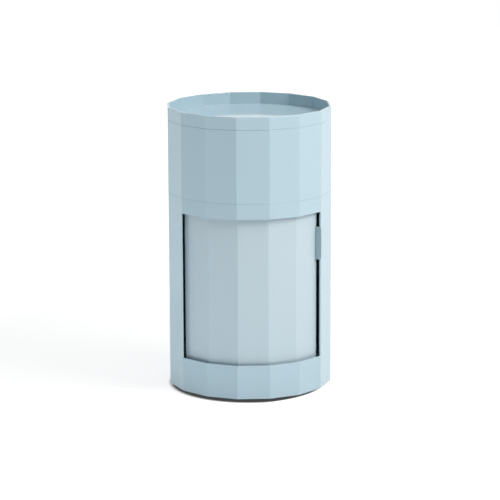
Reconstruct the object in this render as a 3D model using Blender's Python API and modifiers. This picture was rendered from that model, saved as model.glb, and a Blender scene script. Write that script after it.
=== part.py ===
"""Sixteen-sided steel storage cabinet on castors, with a revolving door and a lift-off tray. Metres, +Z up.

The front faces -Y, the door turns about the Z axis, and the wheels stand on z = 0.
"""

from math import atan2, cos, hypot, pi, radians, sin, tan

import bmesh
import bpy

# Body: folded sheet with flat sides
SIDES = 16
ACROSS_FLATS = 0.353
SHEET = 0.0012
SEAT_GAP = 0.0003
FLOOR_CLEARANCE = 0.008
BOTTOM_HEM = 0.010
JOINT_FLANGE = 0.014
OPENING_SIDES = 5
OPENING_HEIGHT = 0.3195
TOP_BAND_HEIGHT = 0.033
JAMB_RETURN = 0.0032

# Base plate, its cleats, and the lip of the plinth that stands above it
BASE_SHEET = 0.0015
EDGE_CLEARANCE = 0.0006
SILL_LIP = 0.008
BRACKET_COUNT = 4
BRACKET_WIDTH = 0.040
BRACKET_DROP = 0.022
BRACKET_LEG = 0.013
BRACKET_SHEET = 0.002

# Upper ring, deck and the screws that hold them to the lower shell
UPPER_RING_HEIGHT = 0.158
RING_TOP_FLANGE = 0.010
SCREW_COUNT = 4
SCREW_RADIUS = 0.0025
SCREW_HEAD_RADIUS = 0.00475
SCREW_HEAD_HEIGHT = 0.0028
SCREW_NUT_FLATS = 0.008
SCREW_NUT_HEIGHT = 0.004
THREAD_END = 0.0012

# Tray with a hollow hemmed rim
TRAY_HEIGHT = 0.0275
TRAY_DEPTH = 0.026
RIM_WIDTH = 0.005
RIM_CHAMFER = 0.0014
LOCATOR_DEPTH = 0.012
LOCATOR_CLEARANCE = 0.001

# Door
DOOR_SETBACK = 0.0108
DOOR_FLOOR_CLEARANCE = 0.003
DOOR_COVER = 0.0105
DOOR_RETURN = 0.009
DOOR_OVERLAP = 0.0045
DOOR_TRAVEL = radians(108)
TAB_HEIGHT = 0.072
TAB_DROP = 0.0328
TAB_THICKNESS = 0.002
TAB_INSET = 0.0032
TAB_PROUD = 0.003
TAB_CORNER = 0.005

# Door tracks, the glides that straddle them and the end stops
TRACK_STEPS = 64
TRACK_THICKNESS = 0.002
BOTTOM_TRACK_HEIGHT = 0.010
TOP_TRACK_DROP = 0.0155
GLIDE_COUNT = 3
GLIDE_WIDTH = 0.024
GLIDE_OUTER_WALL = 0.009
GLIDE_INNER_WALL = 0.0035
GLIDE_SLOT_CLEARANCE = 0.0004
GLIDE_ENGAGEMENT = 0.006
GLIDE_HEEL = 0.012
LIFT_OUT_SLACK = 0.008
STOP_GAP = 0.0005
STOP_DEPTH = 0.010
STOP_THICKNESS = 0.008
STOP_HEIGHT = 0.014

# Castors
CASTOR_COUNT = 4
CASTOR_CIRCLE = 0.112
CASTOR_TRAIL = 0.024
WHEEL_STEPS = 32
WHEEL_RADIUS = 0.025
TYRE_THICKNESS = 0.0075
TYRE_WIDTH = 0.020
TYRE_SHOULDER = 0.0025
HUB_WIDTH = 0.022
HUB_BOSS = 0.008
HUB_DISH = 0.003
AXLE_RADIUS = 0.004
AXLE_HEAD_RADIUS = 0.0065
AXLE_HEAD = 0.002
RUN_CLEARANCE = 0.0003
FORK_SIDE_CLEARANCE = 0.0018
FORK_SHEET = 0.0025
FORK_EYE_RADIUS = 0.009
FORK_NOSE = 0.014
FORK_HEEL = 0.020
CROWN_CLEARANCE = 0.0055
CROWN_THICKNESS = 0.003
BEARING_HEIGHT = 0.0135
BEARING_RADIUS = 0.009
SEAT_FLANGE_RADIUS = 0.012
SEAT_FLANGE_HEIGHT = 0.005
KINGPIN_RADIUS = 0.004
KINGPIN_HEAD_RADIUS = 0.007
KINGPIN_HEAD = 0.002
STEM_RADIUS = 0.005
STEM_NUT_FLATS = 0.016
STEM_NUT_HEIGHT = 0.005

# Facets of small round pieces, and how far a cutter runs past what it cuts
ROUND_STEPS = 16
CORNER_STEPS = 4
EYE_STEPS = 8
HEX_SIDES = 6
CUT_MARGIN = 0.004
MERGE_DISTANCE = 0.00001

# Levels, from the floor up
SIDE_ANGLE = 2 * pi / SIDES
FRONT = -pi / 2
axle_z = WHEEL_RADIUS * cos(pi / WHEEL_STEPS)
crown_bottom = axle_z + WHEEL_RADIUS + CROWN_CLEARANCE
crown_top = crown_bottom + CROWN_THICKNESS
castor_top = crown_top + SEAT_GAP + BEARING_HEIGHT
base_bottom = castor_top + SEAT_GAP
base_top = base_bottom + BASE_SHEET
sill_z = base_top + SILL_LIP
opening_top = sill_z + OPENING_HEIGHT
shell_top = opening_top + TOP_BAND_HEIGHT
ring_bottom = shell_top + SEAT_GAP
ring_top = ring_bottom + UPPER_RING_HEIGHT
deck_bottom = ring_bottom + SHEET + SEAT_GAP
deck_top = deck_bottom + SHEET
tray_bottom = ring_top + SEAT_GAP
tray_rim = tray_bottom + TRAY_HEIGHT
tray_floor = tray_rim - TRAY_DEPTH

# Distances from the axis to a flat side
body_flat = ACROSS_FLATS / 2
body_inner_flat = body_flat - SHEET
flange_flat = body_flat - JOINT_FLANGE
door_flat = body_flat - DOOR_SETBACK
door_inner_flat = door_flat - SHEET
glide_outer = door_inner_flat - SEAT_GAP
track_outer = glide_outer - GLIDE_OUTER_WALL - GLIDE_SLOT_CLEARANCE
track_inner = track_outer - TRACK_THICKNESS
glide_inner = track_inner - GLIDE_SLOT_CLEARANCE - GLIDE_INNER_WALL
screw_circle = (flange_flat + body_inner_flat) / 2

# Door levels
door_bottom = base_top + DOOR_FLOOR_CLEARANCE
door_top = opening_top + DOOR_COVER
half_opening = OPENING_SIDES * SIDE_ANGLE / 2


for old in list(bpy.data.objects):
    bpy.data.objects.remove(old)
cabinet = bpy.data.collections.new("storage_cabinet")
cutters = bpy.data.collections.new("cutters")
bpy.context.scene.collection.children.link(cabinet)
bpy.context.scene.collection.children.link(cutters)


def finish(name, colour, roughness, metallic=0.0):
    """A Principled material with an even colour."""
    made = bpy.data.materials.new(name)
    made.use_nodes = True
    shader = made.node_tree.nodes["Principled BSDF"]
    shader.inputs["Base Color"].default_value = (*colour, 1.0)
    shader.inputs["Roughness"].default_value = roughness
    shader.inputs["Metallic"].default_value = metallic
    return made


powder_coat = finish("blue_powder_coat", (0.44, 0.60, 0.67), 0.45)
door_coat = finish("door_powder_coat", (0.47, 0.61, 0.67), 0.45)
zinc = finish("zinc_plated_steel", (0.55, 0.56, 0.57), 0.35, 1.0)
nylon = finish("white_nylon", (0.80, 0.80, 0.77), 0.50)
rubber = finish("black_rubber", (0.02, 0.02, 0.02), 0.80)
hub_plastic = finish("dark_grey_polypropylene", (0.06, 0.06, 0.065), 0.55)


def empty(name, location=(0, 0, 0), turn=0.0, parent=None):
    """A bare frame that moving pieces hang on."""
    made = bpy.data.objects.new(name, None)
    made.location = location
    made.rotation_euler = (0, 0, turn)
    made.parent = parent
    cabinet.objects.link(made)
    return made


def piece(name, mesh, material, parent):
    made = bpy.data.objects.new(name, mesh)
    made.data.materials.append(material)
    made.parent = parent
    cabinet.objects.link(made)
    return made


def cutter(name, mesh):
    made = bpy.data.objects.new(name, mesh)
    made.hide_render = True
    made.display_type = "WIRE"
    cutters.objects.link(made)
    return made


def combine(target, other, operation="DIFFERENCE"):
    """Cuts the other object from the target, or joins it on."""
    change = target.modifiers.new(other.name, "BOOLEAN")
    change.operation = operation
    change.solver = "EXACT"
    change.object = other


def profile_mesh(name, points, closed, start=0.0):
    """A chain of (radius, height) points standing on a half plane at the start angle."""
    bm = bmesh.new()
    chain = [bm.verts.new((r * cos(start), r * sin(start), z)) for r, z in points]
    for first, second in zip(chain, chain[1:]):
        bm.edges.new((first, second))
    if closed:
        bm.edges.new((chain[-1], chain[0]))
    mesh = bpy.data.meshes.new(name)
    bm.to_mesh(mesh)
    bm.free()
    return mesh


def spin(target, steps, smooth):
    """Turns a profile about Z; points that reach the axis become one."""
    screw = target.modifiers.new("turn", "SCREW")
    screw.axis = "Z"
    screw.angle = 2 * pi
    screw.steps = steps
    screw.render_steps = steps
    screw.use_smooth_shade = smooth
    screw.use_merge_vertices = True
    screw.merge_threshold = MERGE_DISTANCE


def faceted(name, flats, closed, material, parent):
    """A sixteen-sided piece from a section given as (distance to a flat side, height)."""
    section = [(flat / cos(pi / SIDES), z) for flat, z in flats]
    made = piece(name, profile_mesh(name, section, closed, pi / SIDES), material, parent)
    spin(made, SIDES, False)
    return made


def turned(name, section, material, parent, steps=ROUND_STEPS, closed=False):
    """A round piece from a section of (radius, height) points."""
    made = piece(name, profile_mesh(name, section, closed, pi / steps), material, parent)
    spin(made, steps, True)
    return made


def rods(name, radius, low, high, places, steps=ROUND_STEPS):
    """Upright prisms at several places, in one mesh."""
    bm = bmesh.new()
    for x, y in places:
        made = bmesh.ops.create_cone(
            bm, cap_ends=True, segments=steps, radius1=radius, radius2=radius, depth=high - low
        )
        bmesh.ops.translate(bm, verts=made["verts"], vec=(x, y, (low + high) / 2))
    mesh = bpy.data.meshes.new(name)
    bm.to_mesh(mesh)
    bm.free()
    return mesh


def block(name, low, high):
    """A box between two corners."""
    bm = bmesh.new()
    bmesh.ops.create_cube(bm, size=1)
    bmesh.ops.scale(bm, verts=bm.verts, vec=[b - a for a, b in zip(low, high)])
    bmesh.ops.translate(bm, verts=bm.verts, vec=[(a + b) / 2 for a, b in zip(low, high)])
    mesh = bpy.data.meshes.new(name)
    bm.to_mesh(mesh)
    bm.free()
    return mesh


def outline_mesh(name, points, thickness):
    """A flat outline in XY, filled and thickened evenly to both sides of its plane."""
    curve = bpy.data.curves.new(name, "CURVE")
    curve.dimensions = "2D"
    curve.fill_mode = "BOTH"
    curve.extrude = thickness / 2
    spline = curve.splines.new("POLY")
    spline.points.add(len(points) - 1)
    for point, (x, y) in zip(spline.points, points):
        point.co = (x, y, 0, 1)
    spline.use_cyclic_u = True
    drawn = bpy.data.objects.new(name, curve)
    bpy.context.scene.collection.objects.link(drawn)
    bpy.context.view_layer.update()
    mesh = bpy.data.meshes.new_from_object(drawn.evaluated_get(bpy.context.evaluated_depsgraph_get()))
    bpy.data.objects.remove(drawn)
    bm = bmesh.new()
    bm.from_mesh(mesh)
    bmesh.ops.remove_doubles(bm, verts=bm.verts, dist=MERGE_DISTANCE)
    bm.to_mesh(mesh)
    bm.free()
    return mesh


def on_circle(radius, angle):
    return (radius * cos(angle), radius * sin(angle))


def around(radius, count, start=0.0):
    """Evenly spaced places on a circle."""
    return [on_circle(radius, start + 2 * pi * k / count) for k in range(count)]


def ring_section(outer, inner, low, high):
    """A rectangle, run down its outer side."""
    return [(outer, high), (outer, low), (inner, low), (inner, high)]


# Lower shell: plinth, posts and top band in one sheet, hemmed below and flanged above
body_frame = empty("cabinet_frame")
lower_shell = faceted(
    "lower_shell",
    [
        (body_flat, shell_top),
        (body_flat, FLOOR_CLEARANCE),
        (body_flat - BOTTOM_HEM, FLOOR_CLEARANCE),
        (body_flat - BOTTOM_HEM, FLOOR_CLEARANCE + SHEET),
        (body_inner_flat, FLOOR_CLEARANCE + SHEET),
        (body_inner_flat, shell_top - SHEET),
        (flange_flat, shell_top - SHEET),
        (flange_flat, shell_top),
    ],
    True,
    powder_coat,
    body_frame,
)

# Right jamb: a narrow return folded inwards where the opening ends on a corner of the body
body_corner = body_flat / cos(pi / SIDES)
window_half = half_opening - SHEET / body_corner
jamb_return = cutter(
    "jamb_return",
    block(
        "jamb_return",
        (body_corner - JAMB_RETURN, -SHEET, sill_z),
        (body_corner - SHEET / 2, SHEET, opening_top),
    ),
)
jamb_return.rotation_euler = (0, 0, FRONT + window_half)
combine(lower_shell, jamb_return, "UNION")
window_reach = body_corner / cos(window_half) + CUT_MARGIN
window = cutter(
    "door_window",
    outline_mesh(
        "door_window",
        [(0, 0), on_circle(window_reach, FRONT - window_half), on_circle(window_reach, FRONT + window_half)],
        OPENING_HEIGHT,
    ),
)
window.location = (0, 0, sill_z + OPENING_HEIGHT / 2)
combine(lower_shell, window)

# Base plate on its cleats
castor_places = around(CASTOR_CIRCLE, CASTOR_COUNT, pi / CASTOR_COUNT)
base_plate = faceted(
    "base_plate",
    [
        (0, base_top),
        (body_inner_flat - EDGE_CLEARANCE, base_top),
        (body_inner_flat - EDGE_CLEARANCE, base_bottom),
        (0, base_bottom),
    ],
    False,
    powder_coat,
    body_frame,
)
stem_holes = cutter(
    "stem_holes",
    rods(
        "stem_holes",
        STEM_RADIUS + RUN_CLEARANCE,
        base_bottom - CUT_MARGIN,
        base_top + CUT_MARGIN,
        castor_places,
    ),
)
combine(base_plate, stem_holes)

bracket_back = body_inner_flat - SEAT_GAP
bracket_top = base_bottom - SEAT_GAP
bracket_outline = [
    (bracket_back, bracket_top),
    (bracket_back - BRACKET_LEG, bracket_top),
    (bracket_back - BRACKET_LEG, bracket_top - BRACKET_SHEET),
    (bracket_back - BRACKET_SHEET, bracket_top - BRACKET_SHEET),
    (bracket_back - BRACKET_SHEET, bracket_top - BRACKET_DROP),
    (bracket_back, bracket_top - BRACKET_DROP),
]
for number in range(BRACKET_COUNT):
    name = f"base_bracket_{number + 1}"
    bracket = piece(name, outline_mesh(name, bracket_outline, BRACKET_WIDTH), zinc, body_frame)
    bracket.rotation_euler = (pi / 2, 0, 2 * pi * number / BRACKET_COUNT)

# Upper ring, flanged inwards at both edges, and the deck plate that lies on its lower flange
upper_ring = faceted(
    "upper_ring",
    [
        (body_flat, ring_top),
        (body_flat, ring_bottom),
        (flange_flat, ring_bottom),
        (flange_flat, ring_bottom + SHEET),
        (body_inner_flat, ring_bottom + SHEET),
        (body_inner_flat, ring_top - SHEET),
        (body_flat - RING_TOP_FLANGE, ring_top - SHEET),
        (body_flat - RING_TOP_FLANGE, ring_top),
    ],
    True,
    powder_coat,
    body_frame,
)
deck_plate = faceted(
    "deck_plate",
    [
        (0, deck_top),
        (body_inner_flat - EDGE_CLEARANCE, deck_top),
        (body_inner_flat - EDGE_CLEARANCE, deck_bottom),
        (0, deck_bottom),
    ],
    False,
    powder_coat,
    body_frame,
)

# Button-head screws through deck, ring flange and shell flange, with a nut under each
screw_places = around(screw_circle, SCREW_COUNT)
screw_seat = deck_top + SEAT_GAP
nut_top = shell_top - SHEET - SEAT_GAP
nut_bottom = nut_top - SCREW_NUT_HEIGHT
screw_holes = cutter(
    "screw_holes",
    rods(
        "screw_holes",
        SCREW_RADIUS + RUN_CLEARANCE,
        nut_bottom - CUT_MARGIN,
        screw_seat + CUT_MARGIN,
        screw_places,
    ),
)
for drilled in (lower_shell, upper_ring, deck_plate):
    combine(drilled, screw_holes)
nut_corner = SCREW_NUT_FLATS / 2 / cos(pi / HEX_SIDES)
for number, (x, y) in enumerate(screw_places, 1):
    screw = turned(
        f"deck_screw_{number}",
        [
            (0, screw_seat + SCREW_HEAD_HEIGHT),
            (SCREW_HEAD_RADIUS / 2, screw_seat + SCREW_HEAD_HEIGHT),
            (SCREW_HEAD_RADIUS, screw_seat + SCREW_HEAD_HEIGHT / 3),
            (SCREW_HEAD_RADIUS, screw_seat),
            (SCREW_RADIUS, screw_seat),
            (SCREW_RADIUS, nut_bottom - THREAD_END),
            (0, nut_bottom - THREAD_END),
        ],
        zinc,
        body_frame,
    )
    screw.location = (x, y, 0)
    nut = piece(
        f"deck_nut_{number}",
        rods(f"deck_nut_{number}", nut_corner, nut_bottom, nut_top, [(x, y)], HEX_SIDES),
        zinc,
        body_frame,
    )
    combine(nut, screw_holes)

# Door tracks: a rib standing on the base plate and one hanging from the deck
bottom_track_top = base_top + SEAT_GAP + BOTTOM_TRACK_HEIGHT
top_track_bottom = deck_bottom - SEAT_GAP - TOP_TRACK_DROP
turned(
    "bottom_track",
    ring_section(track_outer, track_inner, base_top + SEAT_GAP, bottom_track_top),
    zinc,
    body_frame,
    TRACK_STEPS,
    True,
)
turned(
    "top_track",
    ring_section(track_outer, track_inner, top_track_bottom, deck_bottom - SEAT_GAP),
    zinc,
    body_frame,
    TRACK_STEPS,
    True,
)

# Rubber stops on the base plate, just past the door's edge at each end of its travel
door_corner = door_flat / cos(pi / SIDES)
left_side = door_flat * tan(SIDE_ANGLE / 2) + DOOR_OVERLAP
left_corner = hypot(door_flat, left_side)
left_half = half_opening - SIDE_ANGLE / 2 + atan2(left_side, door_flat)
stop_outer = door_corner - SHEET
stop_offset = STOP_GAP + STOP_THICKNESS / 2
for label, edge, away in (
    ("closed", half_opening, 1),
    ("open", -left_half - DOOR_TRAVEL, -1),
):
    name = f"door_stop_{label}"
    stop = piece(
        name,
        block(
            name,
            (stop_outer - STOP_DEPTH, away * stop_offset - STOP_THICKNESS / 2, base_top + SEAT_GAP),
            (stop_outer, away * stop_offset + STOP_THICKNESS / 2, base_top + SEAT_GAP + STOP_HEIGHT),
        ),
        rubber,
        body_frame,
    )
    stop.rotation_euler = (0, 0, FRONT + edge)

# Door: five sides of sheet, the left one running on behind the jamb, with both upright edges folded inwards
door_frame = empty("door_axis", parent=body_frame)
bends = [FRONT - half_opening + k * SIDE_ANGLE for k in range(1, OPENING_SIDES + 1)]
path = [on_circle(left_corner - DOOR_RETURN, FRONT - left_half), on_circle(left_corner, FRONT - left_half)]
path += [on_circle(door_corner, bend) for bend in bends]
path.append(on_circle(door_corner - DOOR_RETURN, bends[-1]))
bm = bmesh.new()
chain = [bm.verts.new((x, y, door_bottom)) for x, y in path]
folds = [bm.edges.new(pair) for pair in zip(chain, chain[1:])]
raised = bmesh.ops.extrude_edge_only(bm, edges=folds)["geom"]
bmesh.ops.translate(
    bm,
    verts=[part for part in raised if isinstance(part, bmesh.types.BMVert)],
    vec=(0, 0, door_top - door_bottom),
)
bm.normal_update()
middle = min(bm.faces, key=lambda face: face.calc_center_median().y)
if middle.normal.y > 0:
    bmesh.ops.reverse_faces(bm, faces=bm.faces)
door_mesh = bpy.data.meshes.new("door_panel")
bm.to_mesh(door_mesh)
bm.free()
door_panel = piece("door_panel", door_mesh, door_coat, door_frame)
wall = door_panel.modifiers.new("sheet", "SOLIDIFY")
wall.thickness = SHEET
wall.offset = -1
wall.use_even_offset = True

# Pull tab: an upright fin welded to the door beside its right edge
tab_angle = half_opening - TAB_INSET / door_corner
tab_root = door_flat / cos(tab_angle - (OPENING_SIDES - 1) / 2 * SIDE_ANGLE) + 2 * SEAT_GAP
tab_tip = body_corner + TAB_PROUD
tab_top = opening_top - TAB_DROP
corner_turns = [pi / 2 * k / CORNER_STEPS for k in range(CORNER_STEPS + 1)]
tab_outline = [(tab_root, tab_top - TAB_HEIGHT)]
tab_outline += [
    (
        tab_tip - TAB_CORNER + TAB_CORNER * sin(turn),
        tab_top - TAB_HEIGHT + TAB_CORNER - TAB_CORNER * cos(turn),
    )
    for turn in corner_turns
]
tab_outline += [
    (tab_tip - TAB_CORNER + TAB_CORNER * cos(turn), tab_top - TAB_CORNER + TAB_CORNER * sin(turn))
    for turn in corner_turns
]
tab_outline.append((tab_root, tab_top))
pull_tab = piece("pull_tab", outline_mesh("pull_tab", tab_outline, TAB_THICKNESS), door_coat, door_frame)
pull_tab.rotation_euler = (pi / 2, 0, FRONT + tab_angle)

# Glides: slotted nylon shoes inside the door, the lower ones carrying it and the upper ones steadying it
slot_outer = track_outer + GLIDE_SLOT_CLEARANCE
slot_inner = track_inner - GLIDE_SLOT_CLEARANCE
bottom_slot_end = bottom_track_top + SEAT_GAP
bottom_glide_low = bottom_track_top - GLIDE_ENGAGEMENT
top_glide_high = top_track_bottom + GLIDE_ENGAGEMENT
top_slot_end = top_track_bottom - LIFT_OUT_SLACK


def slot_cutter(name, low, high):
    section = ring_section(slot_outer, slot_inner, low, high)
    made = cutter(name, profile_mesh(name, section, True, pi / TRACK_STEPS))
    spin(made, TRACK_STEPS, False)
    return made


glide_slots = {
    "bottom": slot_cutter("bottom_glide_slot", bottom_glide_low - CUT_MARGIN, bottom_slot_end),
    "top": slot_cutter("top_glide_slot", top_slot_end, top_glide_high + CUT_MARGIN),
}
glide_levels = {
    "bottom": (bottom_glide_low, bottom_slot_end + GLIDE_HEEL),
    "top": (top_slot_end - GLIDE_HEEL, top_glide_high),
}
glide_spacing = (OPENING_SIDES - 1) * SIDE_ANGLE / (GLIDE_COUNT - 1)
for level, (low, high) in glide_levels.items():
    for number in range(GLIDE_COUNT):
        name = f"{level}_glide_{number + 1}"
        glide = piece(
            name,
            block(name, (glide_inner, -GLIDE_WIDTH / 2, low), (glide_outer, GLIDE_WIDTH / 2, high)),
            nylon,
            door_frame,
        )
        glide.rotation_euler = (0, 0, FRONT + (number - (GLIDE_COUNT - 1) / 2) * glide_spacing)
        combine(glide, glide_slots[level])

# Tray: skirt, hollow rim, inner wall and floor in one sheet, with a locating ring under the floor
tray_frame = empty("tray_lift", (0, 0, tray_bottom), parent=body_frame)
well_flat = body_flat - RIM_WIDTH
faceted(
    "tray_top",
    [
        (flat, z - tray_bottom)
        for flat, z in (
            (0, tray_floor),
            (well_flat, tray_floor),
            (well_flat, tray_rim - RIM_CHAMFER),
            (well_flat + RIM_CHAMFER, tray_rim),
            (body_flat - RIM_CHAMFER, tray_rim),
            (body_flat, tray_rim - RIM_CHAMFER),
            (body_flat, tray_bottom),
            (body_inner_flat, tray_bottom),
            (body_inner_flat, tray_rim - RIM_CHAMFER - SHEET / 2),
            (well_flat + SHEET, tray_rim - RIM_CHAMFER - SHEET / 2),
            (well_flat + SHEET, tray_floor - SHEET),
            (0, tray_floor - SHEET),
        )
    ],
    False,
    powder_coat,
    tray_frame,
)
locator_flat = body_flat - RING_TOP_FLANGE - LOCATOR_CLEARANCE
locator_high = tray_floor - SHEET - SEAT_GAP
locator_low = ring_top - LOCATOR_DEPTH
faceted(
    "tray_locator",
    [
        (flat, z - tray_bottom)
        for flat, z in ring_section(locator_flat, locator_flat - SHEET, locator_low, locator_high)
    ],
    True,
    powder_coat,
    tray_frame,
)

# Castors: a fixed stem with its nut, a fork that swivels on it, and a wheel on the fork's axle
stem_end = base_top + SEAT_GAP + STEM_NUT_HEIGHT
kingpin_end = crown_bottom - SEAT_GAP - KINGPIN_HEAD
stem_section = [
    (0, stem_end),
    (STEM_RADIUS, stem_end),
    (STEM_RADIUS, castor_top),
    (SEAT_FLANGE_RADIUS, castor_top),
    (SEAT_FLANGE_RADIUS, castor_top - SEAT_FLANGE_HEIGHT),
    (BEARING_RADIUS, castor_top - SEAT_FLANGE_HEIGHT),
    (BEARING_RADIUS, crown_top + SEAT_GAP),
    (KINGPIN_RADIUS, crown_top + SEAT_GAP),
    (KINGPIN_RADIUS, crown_bottom - SEAT_GAP),
    (KINGPIN_HEAD_RADIUS, crown_bottom - SEAT_GAP),
    (KINGPIN_HEAD_RADIUS, kingpin_end),
    (0, kingpin_end),
]
stem_nut_corner = STEM_NUT_FLATS / 2 / cos(pi / HEX_SIDES)
stem_nut_bores = cutter(
    "stem_nut_bores",
    rods("stem_nut_bores", STEM_RADIUS + RUN_CLEARANCE, base_top, stem_end + CUT_MARGIN, castor_places),
)

# The fork's side view, in trail and height, and what is cut from it
fork_inner = HUB_WIDTH / 2 + FORK_SIDE_CLEARANCE
fork_outer = fork_inner + FORK_SHEET
eye_turns = [pi + pi * k / EYE_STEPS for k in range(EYE_STEPS + 1)]
fork_outline = [(-FORK_NOSE, crown_top), (-FORK_NOSE, crown_bottom)]
fork_outline += [
    (CASTOR_TRAIL + FORK_EYE_RADIUS * cos(turn), axle_z + FORK_EYE_RADIUS * sin(turn)) for turn in eye_turns
]
fork_outline += [(FORK_HEEL, crown_bottom), (FORK_HEEL, crown_top)]
channel_reach = FORK_NOSE + FORK_HEEL + CASTOR_TRAIL
fork_channel = block(
    "fork_channel",
    (-fork_inner, -channel_reach, -CUT_MARGIN),
    (fork_inner, channel_reach, crown_bottom),
)
kingpin_hole = rods(
    "kingpin_hole",
    KINGPIN_RADIUS + RUN_CLEARANCE,
    crown_bottom - CUT_MARGIN,
    crown_top + CUT_MARGIN,
    [(0, 0)],
)
axle_hole_half = fork_outer + CUT_MARGIN
axle_holes = rods("axle_holes", AXLE_RADIUS + RUN_CLEARANCE, -axle_hole_half, axle_hole_half, [(0, 0)])

# Axle, hub and tyre, as sections about the wheel's own axis
axle_end = fork_outer + SEAT_GAP
axle_section = [
    (0, axle_end + AXLE_HEAD),
    (AXLE_HEAD_RADIUS, axle_end + AXLE_HEAD),
    (AXLE_HEAD_RADIUS, axle_end),
    (AXLE_RADIUS, axle_end),
    (AXLE_RADIUS, -axle_end),
    (AXLE_HEAD_RADIUS, -axle_end),
    (AXLE_HEAD_RADIUS, -axle_end - AXLE_HEAD),
    (0, -axle_end - AXLE_HEAD),
]
tyre_bore = WHEEL_RADIUS - TYRE_THICKNESS
hub_bore = AXLE_RADIUS + RUN_CLEARANCE
hub_radius = tyre_bore - SEAT_GAP
web_half = HUB_WIDTH / 2 - HUB_DISH
hub_section = [
    (hub_bore, HUB_WIDTH / 2),
    (HUB_BOSS, HUB_WIDTH / 2),
    (HUB_BOSS, web_half),
    (hub_radius, web_half),
    (hub_radius, -web_half),
    (HUB_BOSS, -web_half),
    (HUB_BOSS, -HUB_WIDTH / 2),
    (hub_bore, -HUB_WIDTH / 2),
]
tyre_section = [
    (tyre_bore, TYRE_WIDTH / 2),
    (WHEEL_RADIUS - TYRE_SHOULDER, TYRE_WIDTH / 2),
    (WHEEL_RADIUS, TYRE_WIDTH / 2 - TYRE_SHOULDER),
    (WHEEL_RADIUS, TYRE_SHOULDER - TYRE_WIDTH / 2),
    (WHEEL_RADIUS - TYRE_SHOULDER, -TYRE_WIDTH / 2),
    (tyre_bore, -TYRE_WIDTH / 2),
]
ALONG_X = (0, pi / 2, 0)


def castor(number, place, turn):
    """One castor, its wheel trailing along the base circle."""
    stem = turned(f"castor_stem_{number}", stem_section, zinc, body_frame)
    stem.location = (*place, 0)
    name = f"castor_nut_{number}"
    nut_mesh = rods(name, stem_nut_corner, base_top + SEAT_GAP, stem_end, [place], HEX_SIDES)
    combine(piece(name, nut_mesh, zinc, body_frame), stem_nut_bores)

    swivel = empty(f"castor_swivel_{number}", (*place, 0), turn, body_frame)
    spindle = empty(f"castor_spindle_{number}", (0, CASTOR_TRAIL, axle_z), 0, swivel)
    name = f"castor_fork_{number}"
    fork = piece(name, outline_mesh(name, fork_outline, 2 * fork_outer), zinc, swivel)
    fork.rotation_euler = (pi / 2, 0, pi / 2)
    for cut, holder in ((fork_channel, swivel), (kingpin_hole, swivel), (axle_holes, spindle)):
        tool = cutter(f"{cut.name}_{number}", cut)
        tool.parent = holder
        if holder is spindle:
            tool.rotation_euler = ALONG_X
        combine(fork, tool)

    axle = turned(f"castor_axle_{number}", axle_section, zinc, spindle)
    hub = turned(f"wheel_hub_{number}", hub_section, hub_plastic, spindle, closed=True)
    tyre = turned(f"wheel_tyre_{number}", tyre_section, rubber, spindle, WHEEL_STEPS, True)
    for round_piece in (axle, hub, tyre):
        round_piece.rotation_euler = ALONG_X


for number, place in enumerate(castor_places):
    castor(number + 1, place, pi / CASTOR_COUNT + 2 * pi * number / CASTOR_COUNT)
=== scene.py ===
"""Sixteen-sided steel storage cabinet on castors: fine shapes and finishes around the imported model."""

from math import atan2, cos, hypot, pi, radians, sin, tan

import bmesh
import bpy
from mathutils import Matrix, Vector


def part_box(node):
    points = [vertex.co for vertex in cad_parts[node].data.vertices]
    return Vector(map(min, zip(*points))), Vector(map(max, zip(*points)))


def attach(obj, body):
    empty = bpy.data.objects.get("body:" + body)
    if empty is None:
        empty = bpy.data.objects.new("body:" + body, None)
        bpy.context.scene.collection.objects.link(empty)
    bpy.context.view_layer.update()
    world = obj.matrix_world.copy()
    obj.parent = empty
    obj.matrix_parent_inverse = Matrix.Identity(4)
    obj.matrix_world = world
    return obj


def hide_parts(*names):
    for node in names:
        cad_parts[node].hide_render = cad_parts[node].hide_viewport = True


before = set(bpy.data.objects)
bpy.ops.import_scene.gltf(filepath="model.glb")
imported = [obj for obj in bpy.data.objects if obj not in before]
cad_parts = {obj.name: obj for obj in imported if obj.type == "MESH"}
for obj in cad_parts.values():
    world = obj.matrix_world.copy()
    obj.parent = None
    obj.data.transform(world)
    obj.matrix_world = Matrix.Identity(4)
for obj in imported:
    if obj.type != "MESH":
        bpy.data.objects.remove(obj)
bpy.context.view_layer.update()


# Lower shell: the carcass, one 1.2 mm steel sheet folded into sixteen sides and coated light blue, with five
# sides cut out for the door. A hem is turned in at the floor, a narrow return at the right jamb, and at the
# top a flange, which rises into the seating gap above it so that the seam is as tight as a bolted one.
SIDES = 16
SHEET = 0.0012
CORNER_REACH = 0.0005
CORNER_STEPS = 3
BEND_STEPS = 4
CUT_EDGE = 0.0002
CUT_EDGE_STEPS = 2
CUT_EDGE_ANGLE = radians(50)
HEM = 0.010
HEM_BEND = 0.0016
JOINT_FLANGE = 0.014
JOINT_BEND = 0.0004
SEAM_RISE = 0.00016
SILL_LIP = 0.008
OPENING_HEIGHT = 0.3195
OPENING_SIDES = 5
JAMB_RETURN = 0.0032
JAMB_BEND = 0.0005
FRONT = -pi / 2
MERGE = 0.000001
BODY_BLUE = "afc9d5"
BODY_BLUE_DEEP = "adc8d4"
COAT_IOR = 1.5
COAT_SMOOTH, COAT_DULL = 0.05, 0.08
COAT_DRIFT = 0.09
PEEL_WIDTH = 0.003
PEEL_DEPTH = 0.00001
PEEL_STRENGTH = 0.2


def linear(code):
    """An sRGB hex colour as linear red, green, blue and alpha."""
    parts = [int(code[k : k + 2], 16) / 255 for k in (0, 2, 4)]
    return (*(p / 12.92 if p <= 0.04045 else ((p + 0.055) / 1.055) ** 2.4 for p in parts), 1.0)


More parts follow.
